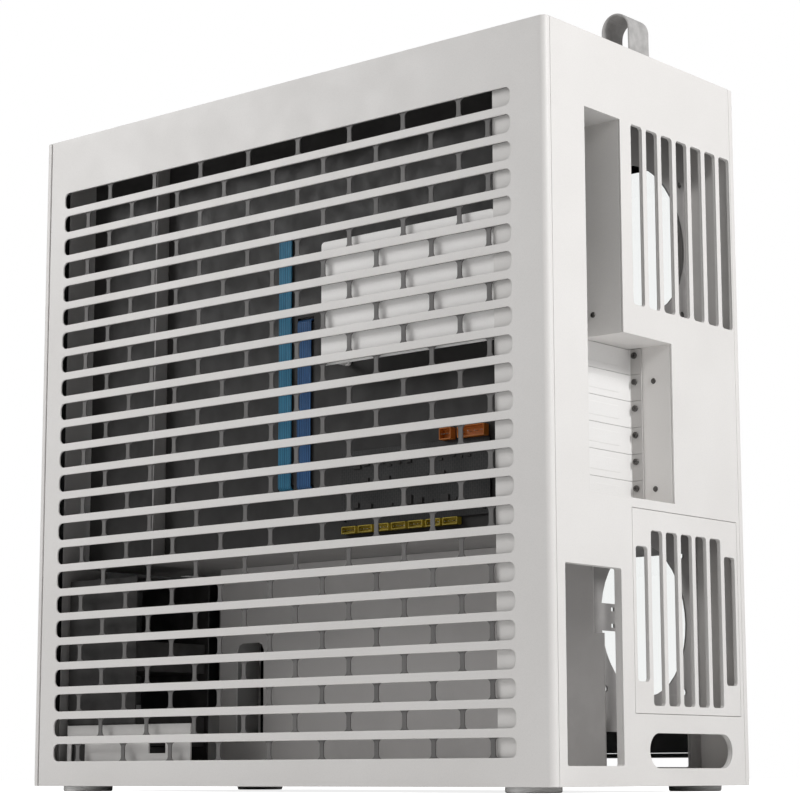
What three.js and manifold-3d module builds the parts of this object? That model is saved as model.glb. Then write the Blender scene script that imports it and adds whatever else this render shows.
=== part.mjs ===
// A white computer tower case: slotted cable side, glass side, vented rear with a stepped recess for
// the board's sockets and expansion slots, upright power-supply bay, and a webbing strap on the lid.
// Millimetres, +Z up, +Y to the rear, +X to the slotted side, origin on the floor under the middle.
import * as THREE from "three";
import { mergeVertices } from "three/addons/utils/BufferGeometryUtils.js";
import Module from "manifold-3d";

const wasm = await Module();
wasm.setup();

// Driving dimensions
const HALF_WIDTH = 125;
const HALF_DEPTH = 267.5;
const BODY_LOW = 4.2;
const BODY_TOP = 550;
const SHEET = 1.5;
const CLEAR = 0.4;
const EDGE_RADIUS = 5;
const GLASS_EDGE_RADIUS = 2;
const RETURN_WIDTH = 6;

// Inner planes
const FRAME_OUT = 120.5;
const FRAME_IN = 119;
const INNER_HALF = 118;
const REAR_SKIN = HALF_DEPTH - SHEET;
const INNER_REAR = 227;
const INNER_REAR_BACK = INNER_REAR + SHEET;
const WALL_FRONT = 215.8;
const FRONT_FRAME = -243.5;
const TRAY_X = 84;
const TRAY_BACK = 85.2;
const TRAY_FRONT_EDGE = -150;
const TRAY_LOW = 186;
const TRAY_HIGH = 519;
const COVER_X = 90;
const PARTITION_X = 24;
const SHELF_Z = 183;
const TOP_FRAME_Z = 520;
const LID_Z = 548;
const PAN_Z = 5;
const PAN_RIM = 15;
const PAN_BRACKET = { x: 114.2, front: -235.5, rear: -92, high: 53 };
const CHAMBER_LOW = 8;
const FLANGE_TOP = 545;
const INNER_FRONT = -240;
const INNER_SHEET = 1.2;

// Slotted side
const SLOT_ROWS = 24;
const SLOT_PITCH = 20.2;
const SLOT_HEIGHT = 14;
const TOP_SLOT_TOP = 502.7;
const SLOT_REAR = 235.5;
const SLOT_FRONT = -242.2;
const SLOT_CORNER = 5;
const RIB_WIDTH = 3;
const RIB_PITCH = 53.5;
const FIRST_RIB = 213.5;
const FRONT_SLOT_HALF = 95;
const RIB_SHEET = { front: -250, rear: 243, low: 16, high: 512, thick: 1, windowLow: 22, windowHigh: 504 };

// Rear openings
const SOCKETS = { left: 33, right: 78, low: 331.4, high: 492 };
const SLOT_BAY = { left: -30, right: 78, low: 210.6, high: 331.4 };
const LINER_WALL = 1.2;
const CARD_PITCH = 20.32;
const CARD_COUNT = 6;
const CARD_TOP = 332;
const CARD_SCREW_RISE = 4.36;
const CARD_SCREW_Y = 234.6;
const CARD_SLOT = { left: -22, right: 70, halfHeight: 6.5 };
const SLOT_COVER = { left: -29.6, right: 76, front: 229, thick: 1, tabRear: 240.5, halfHeight: 9.2 };
const BOARD_WINDOW = { left: 33.3, right: 77.7, low: 332.5, high: 490.8 };
const VENT_COUNT = 7;
const VENT_WIDTH = 15;
const VENT_CORNER = 2.75;
const UPPER_VENT = { first: 11.5, pitch: 20.2, low: 354.4, high: 491.5 };
const LOWER_VENT = { first: 15, pitch: 19.7, low: 61.5, high: 188.6, endLow: 78.5, endHigh: 176 };
const VENT_PLATE = { left: -114.2, right: 26.2, low: 55.8, high: 203.2 };
const VENT_DEPTH = 3.3;
const VENT_BACKING = { left: -118.5, right: 21, low: 349, high: 497 };
const POWER_RIM_DEPTH = 5;
const CABLE_RIM_DEPTH = 3;
const RIM_WALL = 1.3;
const POWER_OPENING = { left: 41.2, right: 109.2, low: 18.5, high: 158 };
const POWER_CORNER = 1.5;
const CABLE_OPENING = { left: -101, right: 9, low: 17, high: 42 };
const CABLE_PASS = { left: -104, right: 12, low: 18, high: 43.5, corner: 4 };
const FAN_RADIUS = 57;
const UPPER_FAN = { x: -53, z: 423 };
const LOWER_FAN = { x: -45, z: 127 };
const FAN_SCREW_REACH = 52.5;
const FAN_SCREW_HOLE = 2.6;
const TIE_TAB = { tip: -10, root: 15, low: 117, high: 137 };

// Board tray, drive plate, hub and leads
const CPU_WINDOW = { rear: 180, front: 30, low: 338, high: 424 };
const DRIVE_PLATE = { x: 117.5, rear: 215.3, front: 47.3, low: 320.2, high: 416.6 };
const HUB = { rear: 190, front: 45, low: 199, high: 256 };
const LEAD_X = 92.5;
const CYAN_LEAD = { rear: -7, front: -21, low: 232, high: 434 };
const BLUE_LEAD = { rear: 14, front: -1, low: 231, high: 366 };
const LEAD_THICK = 1.2;

// Lid, strap, sockets and buttons
const STRAP = { x: -9.2, y: 245, halfWidth: 13.2, halfSpan: 13, thick: 1.8, low: 543.2, top: 586 };
const SOCKET_STRIP = { halfWidth: 60, front: -238, rear: -206, low: 532 };
const SOCKET_Y = -222;
const POWER_BUTTON = { x: -45, radius: 6.4, well: 7, top: 551.2 };
const RESET_BUTTON = { x: -28, radius: 2.6, well: 3.1, top: 550.6 };
const BUTTON_LOW = 541;
const WELL_LOW = 538.5;

// Power-supply bay and drive cage
const PARTITION_STEP = { z: 114, lowRear: 240, highRear: 231 };
const RAILS = { left: 30, right: 116, low: 7, high: 13, depth: 18, rear: 168, front: 108 };
const CAGE = { left: 30, right: 113.2, front: -238, rear: -158, low: CHAMBER_LOW, high: 172 };
const DRIVE_TRAY = { left: 33, right: 110, front: -234, rear: -160, height: 24, wall: 2 };

const FOOT = { radius: 20, height: 4.7, x: 102, rear: 232.7, front: -224.2 };

// Finishes
const white = new THREE.MeshStandardMaterial({ color: 0xe8e5e2, roughness: 0.55, metalness: 0.1 });
const whiteInner = new THREE.MeshStandardMaterial({ color: 0xd9d6d2, roughness: 0.6, metalness: 0.1 });
const charcoal = new THREE.MeshStandardMaterial({ color: 0x2c2b2b, roughness: 0.6, metalness: 0 });
const rubber = new THREE.MeshStandardMaterial({ color: 0x1d1d1e, roughness: 0.85, metalness: 0 });
const footGrey = new THREE.MeshStandardMaterial({ color: 0xb4b0ac, roughness: 0.8, metalness: 0 });
const screwBlack = new THREE.MeshStandardMaterial({ color: 0x4a4744, roughness: 0.4, metalness: 0.8 });
const meshBlack = new THREE.MeshStandardMaterial({ color: 0x333333, roughness: 0.9, metalness: 0 });
const webbing = new THREE.MeshStandardMaterial({ color: 0x9b9998, roughness: 0.95, metalness: 0 });
const glass = new THREE.MeshStandardMaterial({
  color: 0xdfe8e4, roughness: 0.05, metalness: 0, transparent: true, opacity: 0.25,
});
const steel = new THREE.MeshStandardMaterial({ color: 0xb9bbbd, roughness: 0.3, metalness: 1 });
const cyan = new THREE.MeshStandardMaterial({ color: 0x3c9cc4, roughness: 0.6, metalness: 0 });
const blue = new THREE.MeshStandardMaterial({ color: 0x2c62a8, roughness: 0.6, metalness: 0 });
const orange = new THREE.MeshStandardMaterial({ color: 0xd06a24, roughness: 0.5, metalness: 0 });
const yellow = new THREE.MeshStandardMaterial({ color: 0xd8b92a, roughness: 0.5, metalness: 0 });

// Outlines, as lists of points in a plate's own plane
const point = (u, v) => new THREE.Vector2(u, v);

function rectangle(u0, u1, v0, v1) {
  return [point(u0, v0), point(u1, v0), point(u1, v1), point(u0, v1)];
}

function arc(u, v, radius, from, to, steps) {
  return Array.from({ length: steps + 1 }, (_, i) => {
    const angle = from + ((to - from) * i) / steps;
    return point(u + radius * Math.cos(angle), v + radius * Math.sin(angle));
  });
}

function rounded(u0, u1, v0, v1, radius, steps = 3) {
  const quarter = Math.PI / 2;
  return [
    ...arc(u0 + radius, v0 + radius, radius, 2 * quarter, 3 * quarter, steps),
    ...arc(u1 - radius, v0 + radius, radius, 3 * quarter, 4 * quarter, steps),
    ...arc(u1 - radius, v1 - radius, radius, 0, quarter, steps),
    ...arc(u0 + radius, v1 - radius, radius, quarter, 2 * quarter, steps),
  ];
}

function circle(u, v, radius, sides = 40) {
  return arc(u, v, radius, 0, 2 * Math.PI, sides).slice(0, sides);
}

// A flat plate facing along x, y or z: its outline is in (y, z), (x, z) or (x, y), and it fills from..to
const unit = (x, y, z) => new THREE.Vector3(x, y, z);
const FACING = {
  x: new THREE.Matrix4().makeBasis(unit(0, 1, 0), unit(0, 0, 1), unit(1, 0, 0)),
  y: new THREE.Matrix4().makeBasis(unit(1, 0, 0), unit(0, 0, 1), unit(0, -1, 0)),
  z: new THREE.Matrix4(),
};

function plate(facing, from, to, outline, holes = []) {
  const shape = new THREE.Shape(outline);
  shape.holes = holes.map((hole) => new THREE.Path(hole));
  const mesh = new THREE.Mesh(new THREE.ExtrudeGeometry(shape, { depth: to - from, bevelEnabled: false }));
  mesh.quaternion.setFromRotationMatrix(FACING[facing]);
  mesh.position[facing] = facing === "y" ? to : from;
  return mesh;
}

function block(x0, x1, y0, y1, z0, z1) {
  const mesh = new THREE.Mesh(new THREE.BoxGeometry(x1 - x0, y1 - y0, z1 - z0));
  mesh.position.set((x0 + x1) / 2, (y0 + y1) / 2, (z0 + z1) / 2);
  return mesh;
}

// A cylinder along x or z, its middle at (x, y, z)
function rod(axis, radius, length, x, y, z, sides = 12) {
  const mesh = new THREE.Mesh(new THREE.CylinderGeometry(radius, radius, length, sides));
  if (axis === "x") mesh.rotation.z = Math.PI / 2;
  if (axis === "z") mesh.rotation.x = Math.PI / 2;
  mesh.position.set(x, y, z);
  return mesh;
}

// Joining and cutting
function toManifold(mesh) {
  mesh.updateMatrix();
  const geometry = mesh.geometry.clone().applyMatrix4(mesh.matrix);
  geometry.deleteAttribute("normal");
  geometry.deleteAttribute("uv");
  const merged = mergeVertices(geometry);
  const vertProperties = new Float32Array(merged.attributes.position.array);
  const triVerts = new Uint32Array(merged.index.array);
  return new wasm.Manifold(new wasm.Mesh({ numProp: 3, vertProperties, triVerts }));
}

function toMesh(manifold) {
  const { vertProperties, triVerts } = manifold.getMesh();
  const geometry = new THREE.BufferGeometry();
  geometry.setAttribute("position", new THREE.BufferAttribute(vertProperties, 3));
  geometry.setIndex(new THREE.BufferAttribute(triVerts, 1));
  geometry.computeVertexNormals();
  return new THREE.Mesh(geometry);
}

function weld(first, ...others) {
  return toMesh(others.reduce((sum, mesh) => sum.add(toManifold(mesh)), toManifold(first)));
}

function drill(mesh, ...cutters) {
  return toMesh(cutters.reduce((rest, cutter) => rest.subtract(toManifold(cutter)), toManifold(mesh)));
}

function part(group, name, material, mesh) {
  mesh.name = name;
  mesh.material = material;
  group.add(mesh);
}

// The shared pattern of long horizontal slots, from the top row down
const slotTop = (row) => TOP_SLOT_TOP - SLOT_PITCH * row;
const rows = Array.from({ length: SLOT_ROWS }, (_, row) => row);

function slotRows(u0, u1) {
  return rows.map((row) => rounded(u0, u1, slotTop(row) - SLOT_HEIGHT, slotTop(row), SLOT_CORNER, 2));
}

// Rounded upright edge of an outer panel: side is +1 or -1 in x, end is +1 (rear) or -1 (front)
function uprightEdge(side, end, returnEnd, straight, radius = EDGE_RADIUS) {
  const bendX = HALF_WIDTH - radius;
  const bendY = HALF_DEPTH - radius;
  const outer = arc(bendX, bendY, radius, 0, Math.PI / 2, 4);
  const inner = arc(bendX, bendY, radius - SHEET, Math.PI / 2, 0, 4);
  const profile = [
    point(HALF_WIDTH, bendY - straight),
    ...outer,
    point(returnEnd, HALF_DEPTH),
    point(returnEnd, HALF_DEPTH - SHEET),
    ...inner,
    point(HALF_WIDTH - SHEET, bendY - straight),
  ];
  const placed = profile.map(({ x, y }) => point(side * x, end * y));
  return plate("z", BODY_LOW, BODY_TOP, placed);
}

const tower = new THREE.Group();
const chassis = new THREE.Group();
const slottedSide = new THREE.Group();
const glassSide = new THREE.Group();
const lid = new THREE.Group();
const front = new THREE.Group();
tower.add(chassis, slottedSide, glassSide, lid, front);

// Base pan with a bracket beside the drive cage, feet and floor filter
const floorSlots = Array.from({ length: 8 }, (_, i) => {
  const y = -150 + 40 * i;
  return rounded(-100, 10, y, y + 14, 6, 2);
});
const panFloor = plate(
  "z", PAN_Z, PAN_Z + SHEET, rectangle(-FRAME_OUT, FRAME_OUT, -258, REAR_SKIN - CLEAR), floorSlots,
);
const panRight = block(FRAME_IN, FRAME_OUT, -241, REAR_SKIN - CLEAR, PAN_Z + 1, PAN_RIM);
const panLeft = block(-FRAME_OUT, -FRAME_IN, -241, REAR_SKIN - CLEAR, PAN_Z + 1, PAN_RIM);
const panBracket = plate(
  "x", PAN_BRACKET.x, PAN_BRACKET.x + SHEET,
  rectangle(PAN_BRACKET.front, PAN_BRACKET.rear, PAN_Z + 1, PAN_BRACKET.high),
  [rectangle(-231, -214, 20, 38), rectangle(-139, -120, 30, 38)],
);
part(chassis, "base_pan", white, weld(panFloor, panRight, panLeft, panBracket));
part(chassis, "floor_filter", meshBlack, plate("z", 7, 8, rounded(-108, 18, -160, 156, 4, 2)));
for (const [name, x, y] of [
  ["foot_rear_right", FOOT.x, FOOT.rear],
  ["foot_rear_left", -FOOT.x, FOOT.rear],
  ["foot_front_right", FOOT.x, FOOT.front],
  ["foot_front_left", -FOOT.x, FOOT.front],
]) {
  part(chassis, name, footGrey, rod("z", FOOT.radius, FOOT.height, x, y, FOOT.height / 2, 28));
}

// Rear skin with the stepped recess, thick-edged vents, and two openings with bent-in rims
const recess = [
  point(SLOT_BAY.left, SLOT_BAY.low),
  point(SLOT_BAY.right, SLOT_BAY.low),
  point(SLOT_BAY.right, SOCKETS.high),
  point(SOCKETS.left, SOCKETS.high),
  point(SOCKETS.left, SLOT_BAY.high),
  point(SLOT_BAY.left, SLOT_BAY.high),
];
const recessOuter = [
  point(SLOT_BAY.left - LINER_WALL, SLOT_BAY.low - LINER_WALL),
  point(SLOT_BAY.right + LINER_WALL, SLOT_BAY.low - LINER_WALL),
  point(SLOT_BAY.right + LINER_WALL, SOCKETS.high + LINER_WALL),
  point(SOCKETS.left - LINER_WALL, SOCKETS.high + LINER_WALL),
  point(SOCKETS.left - LINER_WALL, SLOT_BAY.high + LINER_WALL),
  point(SLOT_BAY.left - LINER_WALL, SLOT_BAY.high + LINER_WALL),
];

function ventSlots({ first, pitch, low, high, endLow = low, endHigh = high }) {
  return Array.from({ length: VENT_COUNT }, (_, i) => {
    const x = first - pitch * i;
    const isEnd = i === 0 || i === VENT_COUNT - 1;
    const from = isEnd ? endLow : low;
    const to = isEnd ? endHigh : high;
    return rounded(x - VENT_WIDTH / 2, x + VENT_WIDTH / 2, from, to, VENT_CORNER, 2);
  });
}

function openingOutline({ left, right, low, high }, corner, grow, steps) {
  return rounded(left - grow, right + grow, low - grow, high + grow, corner + grow, steps);
}
const cableCorner = (CABLE_OPENING.high - CABLE_OPENING.low) / 2 - 0.01;
const powerOutline = (grow) => openingOutline(POWER_OPENING, POWER_CORNER, grow, 2);
const cableOutline = (grow) => openingOutline(CABLE_OPENING, cableCorner, grow, 6);
const bentRim = (outline, depth) =>
  plate("y", REAR_SKIN - depth, REAR_SKIN + 0.1, outline(RIM_WALL), [outline(0)]);
const bentRims = [bentRim(powerOutline, POWER_RIM_DEPTH), bentRim(cableOutline, CABLE_RIM_DEPTH)];
const upperBacking = plate(
  "y", HALF_DEPTH - VENT_DEPTH, REAR_SKIN + 0.1,
  rectangle(VENT_BACKING.left, VENT_BACKING.right, VENT_BACKING.low, VENT_BACKING.high),
  ventSlots(UPPER_VENT),
);
const ventPlateHole = rectangle(
  VENT_PLATE.left - CLEAR, VENT_PLATE.right + CLEAR, VENT_PLATE.low - CLEAR, VENT_PLATE.high + CLEAR,
);
const skinHalf = HALF_WIDTH - RETURN_WIDTH - CLEAR;
const rearSkin = plate(
  "y", REAR_SKIN, HALF_DEPTH, rectangle(-skinHalf, skinHalf, BODY_LOW, BODY_TOP),
  [recess, ...ventSlots(UPPER_VENT), ventPlateHole, powerOutline(0), cableOutline(0)],
);
part(chassis, "rear_panel", white, weld(rearSkin, upperBacking, ...bentRims));
part(chassis, "lower_vent_plate", white, plate(
  "y", HALF_DEPTH - VENT_DEPTH, HALF_DEPTH,
  rectangle(VENT_PLATE.left, VENT_PLATE.right, VENT_PLATE.low, VENT_PLATE.high), ventSlots(LOWER_VENT),
));

// Recess liner with its screw holes
const cards = Array.from({ length: CARD_COUNT }, (_, i) => CARD_TOP - CARD_PITCH * (i + 0.5));
const wallHoles = [
  ...cards.map((z) => rod("x", 1.8, 8, SLOT_BAY.left, CARD_SCREW_Y, z + CARD_SCREW_RISE, 10)),
  rod("x", 2, 8, SLOT_BAY.left, 250.5, 305.1, 10),
  rod("x", 2, 8, SLOT_BAY.left, 250.5, 223.2, 10),
  rod("x", 2, 8, SOCKETS.left, 240.5, 347.6, 10),
];
const liner = plate("y", INNER_REAR_BACK + 0.3, REAR_SKIN - 0.3, recessOuter, [recess]);
part(chassis, "recess_liner", whiteInner, drill(liner, ...wallHoles));

// Inner rear plate with two fan holes and their screw holes, a cable-tie tab across the lower one,
// the socket aperture and the card slots
const fanHoles = [UPPER_FAN, LOWER_FAN].flatMap(({ x, z }) => [
  circle(x, z, FAN_RADIUS),
  ...[-1, 1].flatMap((side) => [-1, 1].map((end) =>
    circle(x + side * FAN_SCREW_REACH, z + end * FAN_SCREW_REACH, FAN_SCREW_HOLE, 12),
  )),
]);
const cardSlots = cards.map((z) =>
  rectangle(CARD_SLOT.left, CARD_SLOT.right, z - CARD_SLOT.halfHeight, z + CARD_SLOT.halfHeight),
);
const chamberEdge = PARTITION_X - SHEET;
const innerRear = plate(
  "y", INNER_REAR, INNER_REAR_BACK,
  [
    point(-INNER_HALF, CHAMBER_LOW), point(chamberEdge, CHAMBER_LOW), point(chamberEdge, TRAY_LOW),
    point(INNER_HALF, TRAY_LOW), point(INNER_HALF, FLANGE_TOP), point(-INNER_HALF, FLANGE_TOP),
  ],
  [
    ...fanHoles,
    rectangle(BOARD_WINDOW.left, BOARD_WINDOW.right, BOARD_WINDOW.low, BOARD_WINDOW.high),
    rounded(CABLE_PASS.left, CABLE_PASS.right, CABLE_PASS.low, CABLE_PASS.high, CABLE_PASS.corner),
    ...cardSlots,
  ],
);
const tieTab = block(
  TIE_TAB.tip, TIE_TAB.root, INNER_REAR, INNER_REAR_BACK, TIE_TAB.low, TIE_TAB.high,
);
const tieHoles = [TIE_TAB.low + 4, TIE_TAB.high - 4].map((z) =>
  block(TIE_TAB.tip + 5, TIE_TAB.tip + 9, INNER_REAR - 1, INNER_REAR_BACK + 1, z - 1.5, z + 1.5),
);
part(chassis, "inner_rear_plate", whiteInner, drill(weld(innerRear, tieTab), ...tieHoles));
for (const [name, x] of [["rear_side_wall_right", FRAME_IN], ["rear_side_wall_left", -FRAME_OUT]]) {
  const wall = block(x, x + SHEET, WALL_FRONT, REAR_SKIN - CLEAR, PAN_RIM + 1, FLANGE_TOP);
  part(chassis, name, whiteInner, wall);
}

// Card slot covers, each with a bent tab and its screw
cards.forEach((z, i) => {
  const { left, right, front: inside, thick, tabRear, halfHeight } = SLOT_COVER;
  const face = block(left, right, inside, inside + thick, z - halfHeight, z + halfHeight);
  const tab = block(left, left + thick, inside, tabRear, z - halfHeight, z + halfHeight);
  const screwZ = z + CARD_SCREW_RISE;
  const hole = rod("x", 1.8, 6, left + thick / 2, CARD_SCREW_Y, screwZ, 10);
  part(chassis, `slot_cover_${i + 1}`, white, drill(weld(face, tab), hole));
  const head = rod("x", 2.4, 1.4, left + 2, CARD_SCREW_Y, screwZ, 12);
  const shank = rod("x", 1.4, 4.5, left - 0.6, CARD_SCREW_Y, screwZ, 8);
  part(chassis, `slot_screw_${i + 1}`, screwBlack, weld(head, shank));
});

// Board tray with stand-offs, cable windows and their rubber grommets
const cableWindows = [215, 305, 395].map((z) => ({ front: -139, rear: -119, low: z, high: z + 70 }));
const windowOutline = (w, grow) =>
  rounded(w.front - grow, w.rear + grow, w.low - grow, w.high + grow, 9.9 + grow, 4);
const cpuOutline = rounded(CPU_WINDOW.front, CPU_WINDOW.rear, CPU_WINDOW.low, CPU_WINDOW.high, 8, 3);
const traySlots = [
  rounded(-60, -10, 191, 203, 5, 2),
  rounded(60, 110, 191, 203, 5, 2),
  rounded(0, 50, 499, 511, 5, 2),
  rounded(100, 150, 499, 511, 5, 2),
];
const traySheet = plate(
  "x", TRAY_X, TRAY_BACK, rectangle(TRAY_FRONT_EDGE, INNER_REAR - CLEAR, TRAY_LOW, TRAY_HIGH),
  [cpuOutline, ...cableWindows.map((w) => windowOutline(w, 0)), ...traySlots],
);
const trayFlange = block(
  TRAY_X, 104, TRAY_FRONT_EDGE - SHEET, TRAY_FRONT_EDGE + 0.1, TRAY_LOW, TRAY_HIGH,
);
const standoffs = [485, 330, 208].flatMap((z) =>
  [216, 92, -14].map((y) => rod("x", 3, 6.6, TRAY_X - 3.1, y, z, 6)),
);
part(chassis, "motherboard_tray", whiteInner, weld(traySheet, trayFlange, ...standoffs));
cableWindows.forEach((w, i) => {
  const ring = plate("x", TRAY_X - 1.8, TRAY_X - 0.3, windowOutline(w, 3), [windowOutline(w, -3)]);
  part(chassis, `grommet_${i + 1}`, rubber, ring);
});

// Dark cover over the tray's back, with slits for the two flat leads
function leadSlits({ rear, front: nose, low, high }) {
  return [
    rectangle(nose - 1, rear + 1, low - 1.5, low + 3.5),
    rectangle(nose - 1, rear + 1, high - 3.5, high + 1.5),
  ];
}
part(chassis, "cable_cover", charcoal, plate(
  "x", COVER_X, COVER_X + SHEET, rounded(TRAY_FRONT_EDGE + 1, 225, TRAY_LOW + 1, TRAY_HIGH - 1, 4, 2),
  [cpuOutline, ...leadSlits(CYAN_LEAD), ...leadSlits(BLUE_LEAD)],
));
part(chassis, "front_cable_cover", charcoal, plate(
  "x", COVER_X, COVER_X + SHEET,
  rounded(INNER_FRONT, TRAY_FRONT_EDGE - 2.5, TRAY_LOW + 1, TRAY_HIGH - 1, 4, 2),
));

// Flat front-panel leads: a long run with both ends turned in through the cover
function flatLead({ rear, front: nose, low, high }) {
  const run = block(LEAD_X, LEAD_X + LEAD_THICK, nose, rear, low, high);
  const lower = block(86.5, LEAD_X + LEAD_THICK, nose, rear, low, low + LEAD_THICK);
  const upper = block(86.5, LEAD_X + LEAD_THICK, nose, rear, high - LEAD_THICK, high);
  return weld(run, lower, upper);
}
part(chassis, "front_lead_cyan", cyan, flatLead(CYAN_LEAD));
part(chassis, "front_lead_blue", blue, flatLead(BLUE_LEAD));

// Fan hub board with its sockets
part(chassis, "fan_hub", charcoal, block(91.9, 94.9, HUB.front, HUB.rear, HUB.low, HUB.high));
part(chassis, "hub_sockets_yellow", yellow, block(91.9, 97, 49, 162, 193.2, HUB.low - 0.3));
const orangeBase = block(91.9, 93, 146, 188, HUB.high + 0.3, 265);
const orangePair = [[146, 157], [163, 188]].map(([y0, y1]) => block(92.5, 98, y0, y1, HUB.high + 0.3, 265));
part(chassis, "hub_sockets_orange", orange, weld(orangeBase, ...orangePair));

// Power-supply bay: stepped partition, support and roof shelf; drive cage in front of it
const partitionTop = SHELF_Z - 0.5;
part(chassis, "psu_partition", whiteInner, plate(
  "x", PARTITION_X, PARTITION_X + INNER_SHEET,
  [
    point(TRAY_FRONT_EDGE, CHAMBER_LOW), point(PARTITION_STEP.lowRear, CHAMBER_LOW),
    point(PARTITION_STEP.lowRear, PARTITION_STEP.z), point(PARTITION_STEP.highRear, PARTITION_STEP.z),
    point(PARTITION_STEP.highRear, partitionTop), point(TRAY_FRONT_EDGE, partitionTop),
  ],
  [rounded(-130, -100, 40, 120, 6, 2)],
));
const [railRear, railFront] = [RAILS.rear, RAILS.front].map((rear) =>
  block(RAILS.left, RAILS.right, rear - RAILS.depth, rear, RAILS.low, RAILS.high),
);
const railLink = block(60, 86, RAILS.front - 1, RAILS.rear - RAILS.depth + 1, RAILS.low, RAILS.low + 2);
part(chassis, "psu_support", rubber, weld(railRear, railFront, railLink));
part(chassis, "chamber_shelf", whiteInner, plate(
  "z", SHELF_Z, SHELF_Z + SHEET, rectangle(-INNER_HALF, INNER_HALF, INNER_FRONT, INNER_REAR - CLEAR),
  [rounded(96, 112, -60, 40, 6, 2), rounded(-80, 0, -228, -206, 6, 2)],
));
const cageWalls = [
  [CAGE.left, CAGE.left + INNER_SHEET, CAGE.low, CAGE.high],
  [CAGE.right - INNER_SHEET, CAGE.right, CAGE.low, CAGE.high],
  [CAGE.left, CAGE.right, CAGE.high - INNER_SHEET, CAGE.high],
  [CAGE.left, CAGE.right, CAGE.low, CAGE.low + INNER_SHEET],
].map(([x0, x1, z0, z1]) => block(x0, x1, CAGE.front, CAGE.rear, z0, z1));
part(chassis, "drive_cage", charcoal, weld(...cageWalls));
[36, 96].forEach((z, i) => {
  const { left, right, front: nose, rear, height, wall } = DRIVE_TRAY;
  const floor = block(left, right, nose, rear, z, z + wall);
  const inner = block(left, left + wall, nose, rear, z, z + height);
  const outer = block(right - wall, right, nose, rear, z, z + height);
  const pull = block(left, right, rear - wall, rear, z, z + height);
  part(chassis, `drive_tray_${i + 1}`, charcoal, weld(floor, inner, outer, pull));
});

// Front and top frames, each open for fans or a radiator
part(chassis, "front_frame", whiteInner, plate(
  "y", FRONT_FRAME, FRONT_FRAME + SHEET, rectangle(-INNER_HALF, INNER_HALF, CHAMBER_LOW, FLANGE_TOP),
  [rounded(-68, 68, 72, 512, 4, 2), rounded(-30, 88, 24, 48, 4, 2)],
));
const topSheet = plate(
  "z", TOP_FRAME_Z, TOP_FRAME_Z + SHEET,
  rectangle(-INNER_HALF, INNER_HALF, INNER_FRONT, INNER_REAR - CLEAR),
  [rounded(-100, 40, -200, 190, 4, 2)],
);
const topFlanges = [INNER_HALF - SHEET, -INNER_HALF].map((x) =>
  block(x, x + SHEET, INNER_FRONT, INNER_REAR - CLEAR, TOP_FRAME_Z + 1, FLANGE_TOP),
);
part(chassis, "top_frame", whiteInner, weld(topSheet, ...topFlanges));

// Socket strip in the lid's front edge, with two buttons and three sockets
const USB_A = { halfX: 7.2, halfY: 3.5, wall: 0.4, low: 536 };
const USB_C = { halfX: 4.6, halfY: 1.8, wall: 0.5, low: 538 };
const sockets = [
  ["usb_socket_1", 2, USB_A],
  ["usb_socket_2", 20, USB_A],
  ["usb_c_socket", 38, USB_C],
];
const pockets = sockets.map(([, x, s]) =>
  block(x - s.halfX, x + s.halfX, SOCKET_Y - s.halfY, SOCKET_Y + s.halfY, s.low, BODY_TOP + 5),
);
const well = (b) => rod("z", b.well, 20, b.x, SOCKET_Y, WELL_LOW + 10, 20);
const audioHole = rod("z", 1.8, 20, 51, SOCKET_Y, WELL_LOW + 10, 14);
const strip = block(
  -SOCKET_STRIP.halfWidth, SOCKET_STRIP.halfWidth, SOCKET_STRIP.front, SOCKET_STRIP.rear,
  SOCKET_STRIP.low, BODY_TOP,
);
const stripCuts = [...pockets, well(POWER_BUTTON), well(RESET_BUTTON), audioHole];
part(chassis, "socket_strip", white, drill(strip, ...stripCuts));
for (const [name, x, s] of sockets) {
  const outX = s.halfX - 0.3;
  const outY = s.halfY - 0.3;
  const inX = outX - s.wall;
  const inY = outY - s.wall;
  const shell = block(x - outX, x + outX, SOCKET_Y - outY, SOCKET_Y + outY, s.low + 0.3, BODY_TOP - 0.2);
  const bore = block(x - inX, x + inX, SOCKET_Y - inY, SOCKET_Y + inY, s.low + 1.3, BODY_TOP + 5);
  part(chassis, name, steel, drill(shell, bore));
}
for (const [name, b] of [["power_button", POWER_BUTTON], ["reset_button", RESET_BUTTON]]) {
  const length = b.top - BUTTON_LOW;
  part(tower, name, white, rod("z", b.radius, length, b.x, SOCKET_Y, BUTTON_LOW + length / 2, 20));
}

// Drive plate behind the slots, hooked on four pegs
const drivePlate = plate(
  "x", DRIVE_PLATE.x, DRIVE_PLATE.x + INNER_SHEET,
  rounded(DRIVE_PLATE.front, DRIVE_PLATE.rear, DRIVE_PLATE.low, DRIVE_PLATE.high, 3, 2),
);
const pegLength = DRIVE_PLATE.x - COVER_X - SHEET - 0.3;
const pegs = [DRIVE_PLATE.front + 5, DRIVE_PLATE.rear - 5].flatMap((y) =>
  [DRIVE_PLATE.low + 6, DRIVE_PLATE.high - 6].map((z) =>
    rod("x", 3, pegLength + 0.5, DRIVE_PLATE.x - pegLength / 2 + 0.25, y, z, 8),
  ),
);
part(tower, "drive_plate", white, weld(drivePlate, ...pegs));

// Slotted side panel, and the sheet of upright ribs behind its slats
const panelRear = HALF_DEPTH - EDGE_RADIUS;
const panelFront = -260.4;
const sideSheet = plate(
  "x", HALF_WIDTH - SHEET, HALF_WIDTH, rectangle(panelFront, panelRear, BODY_LOW, BODY_TOP),
  slotRows(SLOT_FRONT, SLOT_REAR),
);
const returnEnd = HALF_WIDTH - RETURN_WIDTH;
const frontFlange = (side) => {
  const x = side > 0 ? returnEnd : -HALF_WIDTH + SHEET / 2;
  return block(x, x + RETURN_WIDTH - SHEET / 2, panelFront, panelFront + SHEET, BODY_LOW, BODY_TOP - 3);
};
part(slottedSide, "side_panel", white, weld(sideSheet, uprightEdge(1, 1, returnEnd, 0.5), frontFlange(1)));

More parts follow.
